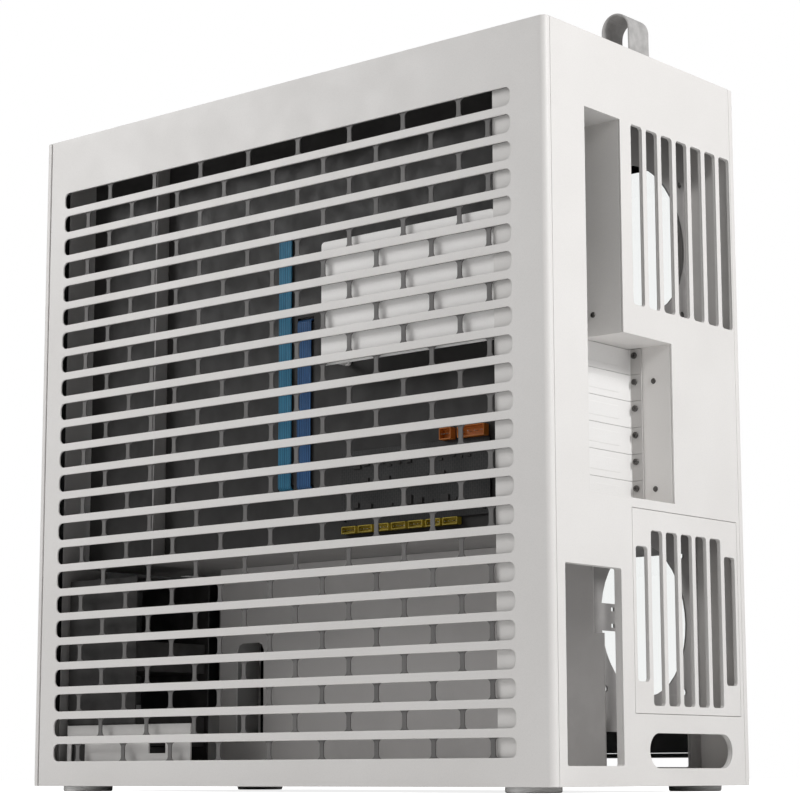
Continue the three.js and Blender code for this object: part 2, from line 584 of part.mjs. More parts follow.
const ribColumns = Array.from({ length: 18 }, (_, i) => FIRST_RIB - (RIB_PITCH / 2) * i);
const ribBack = HALF_WIDTH - SHEET - 1.3;
const ribWindows = ribColumns.slice(1).map((y, i) => block(
  ribBack - 1, ribBack + 2, y + RIB_WIDTH / 2, ribColumns[i] - RIB_WIDTH / 2,
  RIB_SHEET.windowLow, RIB_SHEET.windowHigh,
));
const ribBlank = block(
  ribBack, ribBack + RIB_SHEET.thick, RIB_SHEET.front, RIB_SHEET.rear, RIB_SHEET.low, RIB_SHEET.high,
);
part(slottedSide, "rib_sheet", whiteInner, drill(ribBlank, ...ribWindows));

// Glass side: white frame, gasket and pane
const pane = { front: -239.6, rear: 244.6, low: 29, high: 527.6 };
const paneOutline = (grow) =>
  rounded(pane.front - grow, pane.rear + grow, pane.low - grow, pane.high + grow, 6 + grow, 3);
const footSlots = [[-220, -20], [20, 220]].map(([y0, y1]) => rounded(y0, y1, 16, 25.2, 4.5));
const glassSheet = plate(
  "x", -HALF_WIDTH, SHEET - HALF_WIDTH,
  rectangle(panelFront, HALF_DEPTH - GLASS_EDGE_RADIUS, BODY_LOW, BODY_TOP),
  [paneOutline(CLEAR), ...footSlots],
);
const glassRearEdge = uprightEdge(-1, 1, returnEnd, 0.5, GLASS_EDGE_RADIUS);
part(glassSide, "glass_frame", white, weld(glassSheet, glassRearEdge, frontFlange(-1)));
part(glassSide, "glass_gasket", rubber, plate(
  "x", SHEET + 0.3 - HALF_WIDTH, 4 - HALF_WIDTH, paneOutline(3.2), [paneOutline(0.3)],
));
part(glassSide, "glass_pane", glass, plate("x", -HALF_WIDTH, 4 - HALF_WIDTH, paneOutline(0)));

// Lid with cross slots, its filter, and the webbing strap looped through two slits
const lidHalf = HALF_WIDTH - SHEET - 0.7;
const lidSlots = Array.from({ length: 19 }, (_, i) => {
  const y = 190 - SLOT_PITCH * i;
  return rounded(-FRONT_SLOT_HALF, FRONT_SLOT_HALF, y - SLOT_HEIGHT, y, SLOT_CORNER, 2);
});
const slit = (y) => rectangle(
  STRAP.x - STRAP.halfWidth - 0.5, STRAP.x + STRAP.halfWidth + 0.5, y - 0.5, y + STRAP.thick + 0.5,
);
const stripHole = rectangle(
  -SOCKET_STRIP.halfWidth - CLEAR, SOCKET_STRIP.halfWidth + CLEAR,
  SOCKET_STRIP.front - CLEAR, SOCKET_STRIP.rear + CLEAR,
);
part(lid, "top_panel", white, plate(
  "z", LID_Z, BODY_TOP, rounded(-lidHalf, lidHalf, panelFront, REAR_SKIN - CLEAR, 2, 2),
  [
    ...lidSlots, stripHole,
    slit(STRAP.y - STRAP.halfSpan), slit(STRAP.y + STRAP.halfSpan - STRAP.thick),
  ],
));
part(lid, "top_filter", meshBlack, plate(
  "z", LID_Z - 1.5, LID_Z - 0.3, rounded(-105, 105, -200, 205, 4, 2),
));
const loop = (inset) => {
  const radius = STRAP.halfSpan - inset;
  const centre = STRAP.top - STRAP.halfSpan;
  return [
    point(STRAP.y - radius, STRAP.low + inset),
    point(STRAP.y + radius, STRAP.low + inset),
    ...arc(STRAP.y, centre, radius, 0, Math.PI, 14),
  ];
};
part(lid, "pull_strap", webbing, plate(
  "x", STRAP.x - STRAP.halfWidth, STRAP.x + STRAP.halfWidth, loop(0), [loop(STRAP.thick)],
));

// Front panel: slotted face, rounded upright edges, top and bottom lips, and its filter
const frontFace = plate(
  "y", -HALF_DEPTH, SHEET - HALF_DEPTH, rectangle(-returnEnd - 1, returnEnd + 1, BODY_LOW, BODY_TOP),
  slotRows(-FRONT_SLOT_HALF, FRONT_SLOT_HALF),
);
const frontEdges = [1, -1].map((side) => uprightEdge(side, -1, returnEnd, 1.5));
const frontLips = [BODY_LOW, BODY_TOP - SHEET].map((z) =>
  block(1 - HALF_WIDTH, HALF_WIDTH - 1, 1 - HALF_DEPTH, -261, z, z + SHEET),
);
part(front, "front_panel", white, weld(frontFace, ...frontEdges, ...frontLips));
part(front, "front_filter", meshBlack, plate(
  "y", SHEET + 0.3 - HALF_DEPTH, SHEET + 1.3 - HALF_DEPTH, rounded(-108, 108, 62, 510, 4, 2),
));

export default tower;
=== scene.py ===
# A white computer tower case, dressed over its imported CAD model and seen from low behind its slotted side.
# Shapes are worked out in millimetres in the CAD frame (+Z up, +Y rear, +X slotted side) and turned into
# metres when a piece is placed.
import math
import random

import bmesh
import bpy
from mathutils import Matrix, Vector


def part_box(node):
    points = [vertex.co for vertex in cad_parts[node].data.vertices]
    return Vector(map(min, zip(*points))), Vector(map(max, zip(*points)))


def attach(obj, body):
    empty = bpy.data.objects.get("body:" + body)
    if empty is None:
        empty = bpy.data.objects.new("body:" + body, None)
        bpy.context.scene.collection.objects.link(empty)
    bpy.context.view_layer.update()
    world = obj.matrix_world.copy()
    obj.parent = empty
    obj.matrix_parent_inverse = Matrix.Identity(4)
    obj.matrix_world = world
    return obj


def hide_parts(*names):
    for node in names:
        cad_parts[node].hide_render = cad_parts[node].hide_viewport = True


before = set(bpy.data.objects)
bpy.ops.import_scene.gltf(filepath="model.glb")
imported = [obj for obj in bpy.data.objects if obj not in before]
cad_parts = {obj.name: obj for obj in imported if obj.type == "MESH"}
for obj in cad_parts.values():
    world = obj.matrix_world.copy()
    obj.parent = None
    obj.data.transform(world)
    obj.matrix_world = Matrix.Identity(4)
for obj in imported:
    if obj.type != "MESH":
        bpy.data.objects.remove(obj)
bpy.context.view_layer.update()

MM = 0.001
QUARTER = math.pi / 2

# Sheet metal, shared with the CAD model
SHEET = 1.5
BEND = 5
TIGHT_BEND = 1.8
GLASS_BEND = 2
EDGE = 0.3
SLOT_ROWS, SLOT_PITCH, SLOT_HEIGHT, TOP_SLOT_TOP = 24, 20.2, 14, 502.7
SLOT_REAR, SLOT_FRONT, SLOT_CORNER, FRONT_SLOT_HALF = 235.5, -242.2, 5, 95
RIB_WIDTH, RIB_PITCH, RIB_FLARE = 4, 53.5, 3.2
EVEN_RIBS, ODD_RIBS = 213.5, 186.5
CARD_PITCH, CARD_COUNT, CARD_TOP, CARD_SCREW_RISE = 20.32, 6, 332, 4.36


# ---------------------------------------------------------------- outlines, as (u, v) points

def rectangle(u0, u1, v0, v1):
    return [(u0, v0), (u1, v0), (u1, v1), (u0, v1)]


def arc(u, v, radius, start, end, steps):
    angles = [start + (end - start) * i / steps for i in range(steps + 1)]
    return [(u + radius * math.cos(a), v + radius * math.sin(a)) for a in angles]


def rounded(u0, u1, v0, v1, radius, steps=6):
    return (
        arc(u0 + radius, v0 + radius, radius, 2 * QUARTER, 3 * QUARTER, steps)
        + arc(u1 - radius, v0 + radius, radius, 3 * QUARTER, 4 * QUARTER, steps)
        + arc(u1 - radius, v1 - radius, radius, 0, QUARTER, steps)
        + arc(u0 + radius, v1 - radius, radius, QUARTER, 2 * QUARTER, steps)
    )


def circle(u, v, radius, sides=32):
    return arc(u, v, radius, 0, 4 * QUARTER, sides)[:-1]


def slot_rows(u0, u1, grow=0):
    tops = [TOP_SLOT_TOP - SLOT_PITCH * row for row in range(SLOT_ROWS)]
    return [
        rounded(u0 - grow, u1 + grow, top - SLOT_HEIGHT - grow, top + grow, SLOT_CORNER + grow)
        for top in tops
    ]


# ---------------------------------------------------------------- solids, as bmeshes in millimetres

FACING = {
    "x": Matrix(((0, 0, 1), (1, 0, 0), (0, 1, 0))).to_4x4(),
    "y": Matrix(((1, 0, 0), (0, 0, -1), (0, 1, 0))).to_4x4(),
    "z": Matrix.Identity(4),
}


def plate(facing, low, high, outline, holes=(), edge=EDGE):
    """A sheet that fills low..high along one axis, every cut edge softened; x takes (y, z) outlines,
    y takes (x, z) and z takes (x, y)."""
    curve = bpy.data.curves.new("outline", "CURVE")
    curve.dimensions, curve.fill_mode = "2D", "BOTH"
    curve.extrude, curve.bevel_depth = (high - low) / 2 - edge, edge
    curve.offset, curve.bevel_resolution = -edge, 1
    for points in [outline, *holes]:
        spline = curve.splines.new("POLY")
        spline.points.add(len(points) - 1)
        for knot, (u, v) in zip(spline.points, points):
            knot.co = (u, v, 0, 1)
        spline.use_cyclic_u = True
    holder = bpy.data.objects.new("outline", curve)
    bpy.context.scene.collection.objects.link(holder)
    mesh = bpy.data.meshes.new_from_object(holder.evaluated_get(bpy.context.evaluated_depsgraph_get()))
    bm = bmesh.new()
    bm.from_mesh(mesh)
    bpy.data.objects.remove(holder)
    bpy.data.curves.remove(curve)
    bpy.data.meshes.remove(mesh)
    bmesh.ops.remove_doubles(bm, verts=bm.verts, dist=0.001)
    middle = Vector((0, 0, 0))
    middle["xyz".index(facing)] = (low + high) / 2
    bm.transform(Matrix.Translation(middle) @ FACING[facing])
    return bm


def roll(bm, along, through, start, radius, side=1, end=1, steps=7):
    """Turns what lies past start along one axis through a right angle, away from the sheet's outer
    face. side and end say which way the outer face looks and which end is bent."""
    outer = max(side * v.co[through] for v in bm.verts)
    turn = radius * QUARTER
    for k in range(steps + 1):
        cut = Vector((0, 0, 0))
        cut[along] = end * (start + turn * k / steps)
        normal = Vector((0, 0, 0))
        normal[along] = 1
        geometry = bm.verts[:] + bm.edges[:] + bm.faces[:]
        bmesh.ops.bisect_plane(bm, geom=geometry, dist=0.0005, plane_co=cut, plane_no=normal)
    for v in bm.verts:
        past = end * v.co[along] - start
        if past <= 0:
            continue
        reach = radius - (outer - side * v.co[through])
        angle = min(past / radius, QUARTER)
        v.co[along] = end * (start + reach * math.sin(angle))
        v.co[through] = side * (outer - radius + reach * math.cos(angle) - max(0, past - turn))
    return bm


def turned(profile, axis, at, steps=32):
    """A lathe-turned solid about x or z: profile is (radius, height), from the axis at one end to the
    axis at the other."""
    bm = bmesh.new()
    knots = [bm.verts.new((r, 0, h)) for r, h in profile]
    edges = [bm.edges.new(pair) for pair in zip(knots, knots[1:])]
    bmesh.ops.spin(
        bm, geom=knots + edges, cent=(0, 0, 0), axis=(0, 0, 1), angle=4 * QUARTER, steps=steps,
        use_merge=True, use_normal_flip=False,
    )
    bmesh.ops.remove_doubles(bm, verts=bm.verts, dist=0.0005)
    bmesh.ops.recalc_face_normals(bm, faces=bm.faces)
    tilt = QUARTER if axis == "x" else 0
    bm.transform(Matrix.Translation(at) @ Matrix.Rotation(tilt, 4, "Y"))
    return bm


def knob(radius, low, high, edge, at, dish, steps=32):
    """An upright turned button with rounded rims and a dished top."""
    rim = [(radius - edge + x, high - edge + h) for x, h in arc(0, 0, edge, 0, QUARTER, 4)]
    foot = [(radius - edge + x, low + edge + h) for x, h in arc(0, 0, edge, -QUARTER, 0, 4)]
    rings = (0.78, 0.6, 0.4, 0.2, 0)
    top = [(ring * radius, high - dish * (1 - (ring / 0.8) ** 2)) for ring in rings]
    return turned([(0, low)] + foot + rim + top, "z", at, steps)


def sweep(path, across, section, closed=False):
    """Runs a closed section of (across, outward) points along a path of points."""
    bm = bmesh.new()
    across = Vector(across)
    rings = []
    for i, point in enumerate(path):
        before = path[i - 1] if i or closed else point
        after = path[(i + 1) % len(path)] if i + 1 < len(path) or closed else point
        outward = (Vector(after) - Vector(before)).normalized().cross(across)
        rings.append([bm.verts.new(Vector(point) + across * u + outward * v) for u, v in section])
    spans = list(zip(rings, rings[1:])) + ([(rings[-1], rings[0])] if closed else [])
    for near, far in spans:
        for j in range(len(section)):
            k = (j + 1) % len(section)
            bm.faces.new((near[j], near[k], far[k], far[j]))
    if not closed:
        bm.faces.new(rings[0])
        bm.faces.new(rings[-1])
    bmesh.ops.recalc_face_normals(bm, faces=bm.faces)
    return bm


def joined(first, *others):
    """Adds the other solids to the first."""
    for other in others:
        mesh = bpy.data.meshes.new("part")
        other.to_mesh(mesh)
        other.free()
        first.from_mesh(mesh)
        bpy.data.meshes.remove(mesh)
    return first


def span(node):
    low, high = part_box(node)
    return Vector(low) / MM, Vector(high) / MM


# ---------------------------------------------------------------- placing pieces

def even_shading(obj):
    for polygon in obj.data.polygons:
        polygon.use_smooth = True
    obj.data.set_sharp_from_angle(angle=math.radians(50))
    obj.modifiers.new("even shading", "WEIGHTED_NORMAL").keep_sharp = True


def piece(name, bm, finish, body, slot, *stands_for):
    bm.transform(Matrix.Scale(MM, 4))
    mesh = bpy.data.meshes.new(name)
    bm.to_mesh(mesh)
    bm.free()
    mesh.materials.append(finish)
    obj = bpy.data.objects.new(name, mesh)
    bpy.context.scene.collection.objects.link(obj)
    even_shading(obj)
    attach(obj, body)
    if stands_for:
        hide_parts(*stands_for)


def soften(node, finish, width=0.3):
    """Keeps a CAD node's shape, rounds its cut edges and gives it a finish."""
    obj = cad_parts[node]
    obj.data.materials.clear()
    obj.data.materials.append(finish)
    obj.modifiers.new("weld", "WELD").merge_threshold = 0.00001
    flat = obj.modifiers.new("flat faces", "DECIMATE")
    flat.decimate_type, flat.angle_limit = "DISSOLVE", math.radians(1)
    bevel = obj.modifiers.new("edges", "BEVEL")
    bevel.width, bevel.segments, bevel.limit_method = width * MM, 2, "ANGLE"
    bevel.angle_limit = math.radians(35)
    bevel.harden_normals = True


# ---------------------------------------------------------------- materials

class Finish:
    """One procedural material: a principled shader and the nodes that feed it."""

    def __init__(self, name, rough, metal=0.0, specular=0.5):
        self.material = bpy.data.materials.new(name)
        self.material.use_nodes = True
        self.tree = self.material.node_tree
        self.shader = self.tree.nodes["Principled BSDF"]
        self.shader.inputs["Roughness"].default_value = rough
        self.shader.inputs["Metallic"].default_value = metal
        self.shader.inputs["Specular IOR Level"].default_value = specular
        self.place = self.add("ShaderNodeTexCoord").outputs["Object"]

    def add(self, kind, **values):
        node = self.tree.nodes.new(kind)
        for key, value in values.items():
            if key in node.bl_rna.properties:
                setattr(node, key, value)
            else:
                self.feed(node.inputs[key.replace("_", " ")], value)
        return node

    def feed(self, socket, value):
        if isinstance(value, bpy.types.NodeSocket):
            self.tree.links.new(value, socket)
        else:
            socket.default_value = value

    def set(self, name, value):
        self.feed(self.shader.inputs[name], value)

    def noise(self, scale, detail=2.0, stretch=None):
        """Noise of about 1 / scale metres, optionally stretched along the axes."""
        place = self.place
        if stretch:
            place = self.add("ShaderNodeMapping", Vector=place, Scale=stretch).outputs[0]
        return self.add("ShaderNodeTexNoise", Vector=place, Scale=scale, Detail=detail).outputs["Fac"]

    def ramp(self, value, low, high, at=(0.35, 0.65)):
        """A colour or grey that runs from low to high as value goes between the two stops."""
        node = self.add("ShaderNodeValToRGB", Fac=value)
        for stop, where, colour in zip(node.color_ramp.elements, at, (low, high)):
            stop.position = where
            stop.color = (*colour, 1) if isinstance(colour, tuple) else (colour, colour, colour, 1)
        return node.outputs["Color"]

    def mix(self, factor, a, b, how="MIX"):
        node = self.add("ShaderNodeMix", data_type="RGBA", blend_type=how)
        self.feed(node.inputs[0], factor)
        for socket, value in ((node.inputs[6], a), (node.inputs[7], b)):
            self.feed(socket, (*value, 1) if isinstance(value, tuple) else value)
        return node.outputs[2]

    def bump(self, *layers):
        """Each layer is (height, strength, depth in millimetres)."""
        normal = None
        for height, strength, depth in layers:
            node = self.add("ShaderNodeBump", Height=height, Strength=strength, Distance=depth * MM)
            if normal:
                self.feed(node.inputs["Normal"], normal)
            normal = node.outputs["Normal"]
        self.set("Normal", normal)

    def edges(self, colour, worn, amount=0.5):
        """Wear where the surface turns sharply outwards."""
        point = self.add("ShaderNodeNewGeometry").outputs["Pointiness"]
        patch = self.noise(60, 3)
        ridge = self.ramp(point, 0.0, 1.0, (0.53, 0.62))
        scuffed = self.ramp(patch, 0.0, amount, (0.45, 0.7))
        factor = self.add("ShaderNodeMath", operation="MULTIPLY")
        self.feed(factor.inputs[0], ridge)
        self.feed(factor.inputs[1], scuffed)
        return self.mix(factor.outputs[0], colour, worn)


def powder_coat(name, light, dark, rough=0.5):
    """Fine-textured powder coat: faint cloudy tone, orange-peel grain and slightly rubbed edges."""
    f = Finish(name, rough, specular=0.35)
    cloud = f.ramp(f.noise(9, 3), dark, light)
    fleck = f.ramp(f.noise(1900, 1), 0.955, 1.0, (0.3, 0.55))
    tone = f.mix(1.0, cloud, fleck, "MULTIPLY")
    worn = tuple(min(1.0, c * 1.12) for c in light)
    f.set("Base Color", f.edges(tone, worn, 0.6))
    f.set("Roughness", f.ramp(f.noise(35, 3), rough - 0.06, rough + 0.06))
    f.bump((f.noise(150, 1), 0.04, 0.15), (f.noise(1100, 2), 0.12, 0.03))
    return f.material


def moulded(name, colour, rough=0.55, grain=1500, depth=0.05):
    """Moulded plastic or rubber: spark-eroded grain, slight flow marks and paler rubbed edges."""
    f = Finish(name, rough, specular=0.4)
    darker = tuple(c * 0.8 for c in colour)
    tone = f.ramp(f.noise(25, 4, (1, 1, 0.4)), darker, colour)
    worn = tuple(min(1.0, c * 1.5 + 0.02) for c in colour)
    f.set("Base Color", f.edges(tone, worn, 0.7))
    f.set("Roughness", f.ramp(f.noise(80, 3), rough - 0.08, rough + 0.08))
    cell = f.add("ShaderNodeTexVoronoi", Vector=f.place, Scale=grain).outputs["Distance"]
    f.bump((cell, 0.35, depth), (f.noise(120, 2), 0.1, 0.2))
    return f.material


def plated(name, colour, rough):
    """Plated steel, with fine rolling marks along one direction."""
    f = Finish(name, rough, metal=1.0)
    streak = f.noise(700, 2, (1, 1, 12))
    darker = tuple(c * 0.75 for c in colour)
    f.set("Base Color", f.edges(f.ramp(streak, darker, colour), (0.8, 0.79, 0.77), 0.8))
    f.set("Roughness", f.ramp(streak, rough - 0.08, rough + 0.1))
    f.bump((streak, 0.2, 0.02))
    return f.material


def woven_mesh(name, colour):
    """Fine dust-filter mesh: dark threads with small see-through holes."""
    f = Finish(name, 0.75, specular=0.3)
    f.set("Base Color", f.ramp(f.noise(30, 3), tuple(c * 0.8 for c in colour), colour))
    threads = []
    for turn in ((1, 0, 0), (0, 1, 0), (0, 0, 1)):
        axis = "XYZ"[turn.index(1)]
        wave = f.add("ShaderNodeTexWave", bands_direction=axis, Vector=f.place, Scale=130)
        threads.append(wave.outputs["Fac"])
    cover = threads[0]
    for thread in threads[1:]:
        both = f.add("ShaderNodeMath", operation="MAXIMUM")
        f.feed(both.inputs[0], cover)
        f.feed(both.inputs[1], thread)
        cover = both.outputs[0]
    f.set("Alpha", f.ramp(cover, 0.25, 1.0, (0.45, 0.6)))
    f.bump((cover, 0.5, 0.15))
    return f.material


def strap_fabric(name, colour):
    """Tight polyester webbing: two thread directions, slight fade and fluff."""
    f = Finish(name, 0.9, specular=0.25)
    shade = tuple(c * 0.7 for c in colour)
    tone = f.ramp(f.noise(120, 4), shade, colour, (0.3, 0.7))
    weft = f.add("ShaderNodeTexWave", bands_direction="X", Vector=f.place, Scale=260, Distortion=0.6)
    warp = f.add("ShaderNodeTexWave", bands_direction="Z", Vector=f.place, Scale=340, Distortion=0.8)
    f.set("Base Color", f.mix(0.35, tone, f.ramp(weft.outputs["Fac"], shade, colour, (0.2, 0.8)), "MULTIPLY"))
    f.set("Sheen Weight", 0.35)
    f.set("Sheen Roughness", 0.5)
    f.bump((weft.outputs["Fac"], 0.6, 0.15), (warp.outputs["Fac"], 0.5, 0.12), (f.noise(2500, 3), 0.4, 0.08))
    return f.material


def flat_cable(name, light, dark):
    """Soft vinyl ribbon cable, its wires slightly different in tone."""
    f = Finish(name, 0.42, specular=0.45)
    wires = f.add("ShaderNodeTexWave", bands_direction="Y", Vector=f.place, Scale=160)
    tone = f.ramp(wires.outputs["Fac"], dark, light, (0.25, 0.7))
    f.set("Base Color", f.mix(0.25, tone, f.ramp(f.noise(40, 3), dark, light)))
    f.bump((f.noise(300, 2), 0.15, 0.08))
    return f.material


def solder_mask(name):
    """Matt black circuit board with faint copper traces under the mask."""
    f = Finish(name, 0.4, specular=0.45)
    turned_place = f.add("ShaderNodeMapping", Vector=f.place, Rotation=(0, QUARTER, 0)).outputs[0]
    maze = f.add("ShaderNodeTexBrick", Vector=turned_place, Scale=120, Mortar_Size=0.04)
    trace = f.ramp(maze.outputs["Fac"], (0.012, 0.012, 0.013), (0.03, 0.029, 0.027))
    f.set("Base Color", f.mix(0.3, trace, f.ramp(f.noise(60, 3), (0.01, 0.01, 0.011), (0.03, 0.03, 0.03))))
    f.bump((maze.outputs["Fac"], 0.3, 0.04), (f.noise(900, 2), 0.15, 0.03))
    return f.material


def printed_enamel(name):
    """Black ceramic ink fired on to the glass: glossy, with the faintest unevenness."""
    f = Finish(name, 0.2)
    f.set("Base Color", f.ramp(f.noise(6, 2), (0.009, 0.009, 0.010), (0.014, 0.014, 0.015)))
    f.set("Roughness", f.ramp(f.noise(50, 2), 0.16, 0.22))
    f.bump((f.noise(1800, 2), 0.05, 0.01))
    return f.material


def clear_glass(name):
    """Toughened glass: nearly clear, with very faint waviness."""
    f = Finish(name, 0.02)
    f.set("Base Color", f.ramp(f.noise(5, 2), (0.95, 0.97, 0.96), (0.97, 0.985, 0.98)))
    f.set("Transmission Weight", 1.0)
    f.set("IOR", 1.5)
    f.bump((f.noise(4, 1), 0.02, 0.2))
    return f.material


WHITE = powder_coat("white_powder_coat", (0.745, 0.728, 0.712), (0.715, 0.697, 0.68))
# Slot covers: the case's white raised paler as painted light, standing in for light the recess keeps off.
COVER_WHITE_PAINTED_LIGHT = powder_coat("cover_coat_painted_light", (0.79, 0.78, 0.77), (0.76, 0.75, 0.74))
# Drive plate: the case's white raised paler as painted light, standing in for light the slats keep off.
PLATE_WHITE_PAINTED_LIGHT = powder_coat("plate_coat_painted_light", (0.94, 0.925, 0.91), (0.92, 0.905, 0.89))
INNER_WHITE = powder_coat("inner_powder_coat", (0.76, 0.743, 0.725), (0.72, 0.703, 0.685), 0.55)
# Inner rear plate, board tray, shelf and front frame: coated dark grey as painted shade of the case's inside.
INNER_PAINTED_SHADE = powder_coat("inner_coat_painted_shade", (0.34, 0.33, 0.325), (0.30, 0.29, 0.285), 0.6)
# Slot-cover tabs: the same white steel coated grey, as painted shade of the deep recess.
TAB_PAINTED_SHADE = powder_coat("tab_coat_painted_shade", (0.50, 0.487, 0.475), (0.46, 0.448, 0.437), 0.55)
# Power-supply partition: white steel coated light grey as painted shade of the chamber.
CHAMBER_PAINTED_SHADE = powder_coat("chamber_coat_painted_shade", (0.66, 0.64, 0.63), (0.61, 0.593, 0.583), 0.6)
RIB_GREY = moulded("rib_grey", (0.155, 0.15, 0.147), 0.6)
CHARCOAL = moulded("charcoal_plastic", (0.036, 0.034, 0.033), 0.55)
RUBBER = moulded("black_rubber", (0.022, 0.022, 0.022), 0.75, 900, 0.08)
# Feet: pale grey rubber, made paler still as painted light in place of the floor's bounce.
FOOT_RUBBER_PAINTED_LIGHT = moulded("pale_rubber_painted_light", (0.88, 0.87, 0.86), 0.7, 900, 0.08)
BLACK_SCREW = plated("black_zinc", (0.12, 0.115, 0.11), 0.35)
PORT_STEEL = plated("port_nickel", (0.62, 0.61, 0.6), 0.28)
FILTER = woven_mesh("filter_mesh", (0.05, 0.05, 0.05))
WEBBING = strap_fabric("grey_webbing", (0.58, 0.57, 0.562))
CYAN = flat_cable("cyan_cable", (0.06, 0.30, 0.48), (0.02, 0.13, 0.24))
BLUE = flat_cable("blue_cable", (0.05, 0.17, 0.40), (0.02, 0.07, 0.18))
BOARD = solder_mask("hub_solder_mask")
YELLOW = moulded("yellow_nylon", (0.62, 0.47, 0.05), 0.45, 1200, 0.03)
ORANGE = moulded("orange_nylon", (0.62, 0.19, 0.03), 0.45, 1200, 0.03)
GLASS = clear_glass("toughened_glass")
ENAMEL = printed_enamel("black_enamel")


# ---------------------------------------------------------------- camera, light and floor

WORLD_LIGHT, KEY_POWER, SIDE_POWER, FLOOR_GLOW = 0.3, 22.6, 9.6, 0.84


def look():
    """A long lens low behind the slotted side, tilted up a little."""
    camera = bpy.data.objects.new("camera", bpy.data.cameras.new("camera"))
    bpy.context.scene.collection.objects.link(camera)
    camera.data.lens, camera.data.sensor_width = 102.97, 36
    heading, tilt, turn = math.radians(130.2), math.radians(90 + 9.27), math.radians(-0.136)
    place = (1.3914, 1.2016, 0.0137)
    aim = Matrix.Rotation(heading, 4, "Z") @ Matrix.Rotation(tilt, 4, "X") @ Matrix.Rotation(turn, 4, "Z")
    camera.matrix_world = Matrix.Translation(place) @ aim
    bpy.context.scene.camera = camera


def softbox(name, at, aim, size, power):
    light = bpy.data.lights.new(name, "AREA")
    light.shape, light.size, light.energy = "DISK", size, power
    obj = bpy.data.objects.new(name, light)
    obj.location = at
    obj.rotation_euler = (Vector(aim) - Vector(at)).to_track_quat("-Z", "Y").to_euler()
    bpy.context.scene.collection.objects.link(obj)


def studio():
    """A white surround, one softbox high behind the case, one off its slotted side, and a pale floor."""
    scene = bpy.context.scene
    scene.view_settings.view_transform = "Standard"
    scene.world = bpy.data.worlds.new("studio")
    scene.world.use_nodes = True
    nodes, links = scene.world.node_tree.nodes, scene.world.node_tree.links
    seen, through = nodes.new("ShaderNodeLightPath"), nodes.new("ShaderNodeMath")
    through.operation = "MAXIMUM"
    level = nodes.new("ShaderNodeMapRange")
    level.inputs["To Min"].default_value = WORLD_LIGHT
    level.inputs["To Max"].default_value = 1.0
    links.new(seen.outputs["Is Camera Ray"], through.inputs[0])
    links.new(seen.outputs["Is Transmission Ray"], through.inputs[1])
    links.new(through.outputs[0], level.inputs["Value"])
    links.new(level.outputs["Result"], nodes["Background"].inputs["Strength"])
    nodes["Background"].inputs["Color"].default_value = (1, 1, 1, 1)
    softbox("key", (0.15, 1.75, 1.2), (0, 0.27, 0.35), 0.5, KEY_POWER)
    softbox("side", (1.0, -0.9, 1.0), (0.12, 0, 0.3), 0.7, SIDE_POWER)
    floor = plate("z", -2, 0, circle(0, 0, 3000, 96), edge=0.5)
    floor.transform(Matrix.Scale(MM, 4))
    mesh = bpy.data.meshes.new("floor")
    floor.to_mesh(mesh)
    floor.free()
    paper = Finish("studio_paper", 0.9, specular=0.1)
    paper.set("Base Color", paper.ramp(paper.noise(3, 3), (0.93, 0.93, 0.93), (0.96, 0.96, 0.96)))
    paper.set("Emission Color", (1, 1, 1, 1))
    glow = paper.add("ShaderNodeMath", operation="MULTIPLY")
    paper.feed(glow.inputs[0], paper.add("ShaderNodeLightPath").outputs["Is Camera Ray"])
    paper.feed(glow.inputs[1], FLOOR_GLOW)
    paper.set("Emission Strength", glow.outputs[0])
    paper.bump((paper.noise(400, 2), 0.05, 0.1))
    mesh.materials.append(paper.material)
    obj = bpy.data.objects.new("floor", mesh)
    bpy.context.scene.collection.objects.link(obj)


look()
studio()


# ---------------------------------------------------------------- slotted side

def folded_side(side, holes, bend):
    """An outer side sheet: rolled into the rear face, with a tight flange behind the front panel that
    stops under the lid."""
    low, high = span("side_panel")
    outer, front = high.x, low.y
    rear_bend = high.y - bend
    rear_cut = rear_bend + bend * QUARTER + (outer - bend - low.x)
    flange_at, flange_top = front + TIGHT_BEND - TIGHT_BEND * QUARTER, high.z - 3
    front_cut = flange_at - (outer - TIGHT_BEND - low.x)
    faces = sorted((side * (outer - SHEET), side * outer))
    outline = [
        (front_cut, low.z), (rear_cut, low.z), (rear_cut, high.z),
        (flange_at, high.z), (flange_at, flange_top), (front_cut, flange_top),
    ]
    bm = plate("x", *faces, outline, holes)
    roll(bm, 1, 0, rear_bend, bend, side=side)
    roll(bm, 1, 0, -(front + TIGHT_BEND), TIGHT_BEND, side=side, end=-1, steps=4)
    return bm


def rib_windows(front, rear):
    """Windows in rows, a row behind each slot, parted by ribs whose ends flare into the sheet."""
    windows = []
    shortest = 8
    for row in range(SLOT_ROWS):
        first = ODD_RIBS if row % 2 == 0 else EVEN_RIBS
        top = TOP_SLOT_TOP - SLOT_PITCH * row
        low = top - SLOT_HEIGHT
        ribs = [first - RIB_PITCH * n for n in range(9)]
        ribs = [rib for rib in ribs if rib > front + shortest]
        edges = [rib + half for rib in ribs for half in (RIB_WIDTH / 2, -RIB_WIDTH / 2)]
        ends = [rear] + edges + [front]
        for u1, u0 in zip(ends[::2], ends[1::2]):
            windows.append(rounded(u0, u1, low, top, RIB_FLARE, 4))
    return windows


piece(
    "slotted_side_sheet", folded_side(1, slot_rows(SLOT_FRONT, SLOT_REAR), BEND), WHITE,
    "slotted_side", "white_steel", "side_panel",
)
rib_low, rib_high = span("rib_sheet")
piece(
    "rib_grille", plate(
        "x", rib_low.x, rib_high.x, rectangle(rib_low.y, rib_high.y, rib_low.z, rib_high.z),
        rib_windows(SLOT_FRONT - 2, SLOT_REAR + 2), 0.25,
    ), RIB_GREY, "slotted_side", "inner_steel", "rib_sheet",
)


# ---------------------------------------------------------------- glass side

